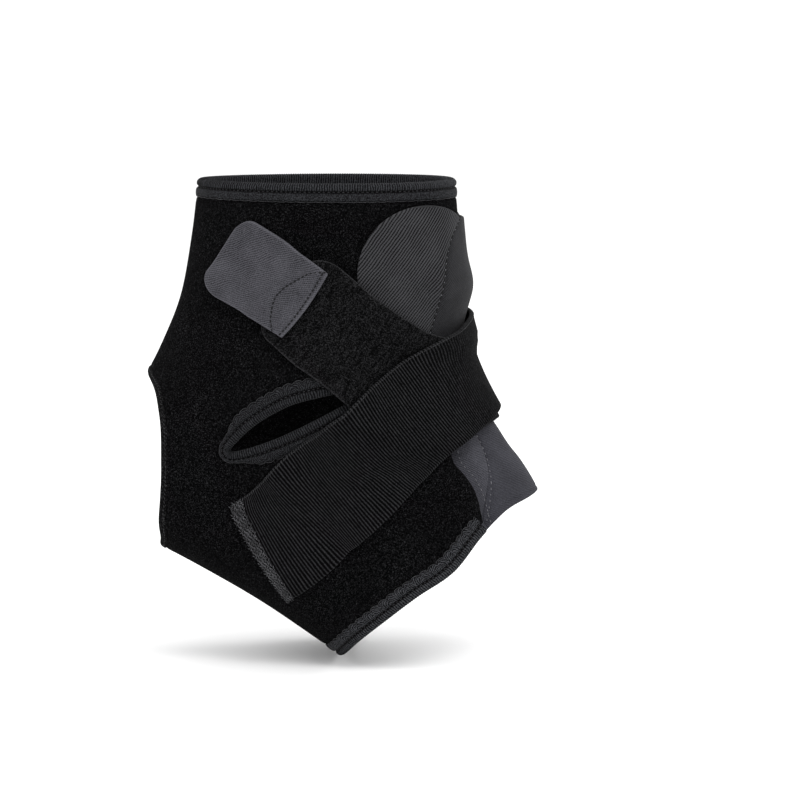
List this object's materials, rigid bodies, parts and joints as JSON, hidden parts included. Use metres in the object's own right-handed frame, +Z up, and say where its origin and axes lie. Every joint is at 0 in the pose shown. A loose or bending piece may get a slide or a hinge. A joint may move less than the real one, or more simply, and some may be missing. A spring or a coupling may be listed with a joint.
{
  "type": "ankle brace",
  "caption": "Padded wrap ankle brace with an open heel, an ankle slit, a shin and an instep closure, and crossed elastic straps with hook tabs.",
  "frame": {"origin": "middle of the ankle that the brace is worn on, halfway between the ankle bones", "axes": "+Z up the leg out of the collar, +X toward the toes, -Y the outer side of a right ankle"},
  "size_m": [0.1413, 0.0898, 0.1716],
  "materials": {
    "body_cloth": "brushed loop pile, matte",
    "binding": "knitted binding, matte",
    "hook_twill": "diagonal twill, matte",
    "closure_cloth": "fine tricot, satin",
    "strap_elastic": "ribbed elastic with a pile face, matte",
    "tab_cloth": "fine twill, satin"
  },
  "bodies": {
    "root": {"body_wrap": "body_cloth", "collar_binding": "binding", "toe_edge_binding": "binding", "heel_binding": "binding", "slit_binding": "binding", "shin_tab": "hook_twill", "shin_panel": "closure_cloth", "instep_tab": "hook_twill", "instep_panel": "closure_cloth", "upper_strap": "strap_elastic", "upper_strap_tab": "tab_cloth", "upper_strap_end_tape": "binding", "lower_strap": "strap_elastic", "lower_strap_tab": "tab_cloth", "lower_strap_end_tape": "binding"}
  },
  "joints": []
}
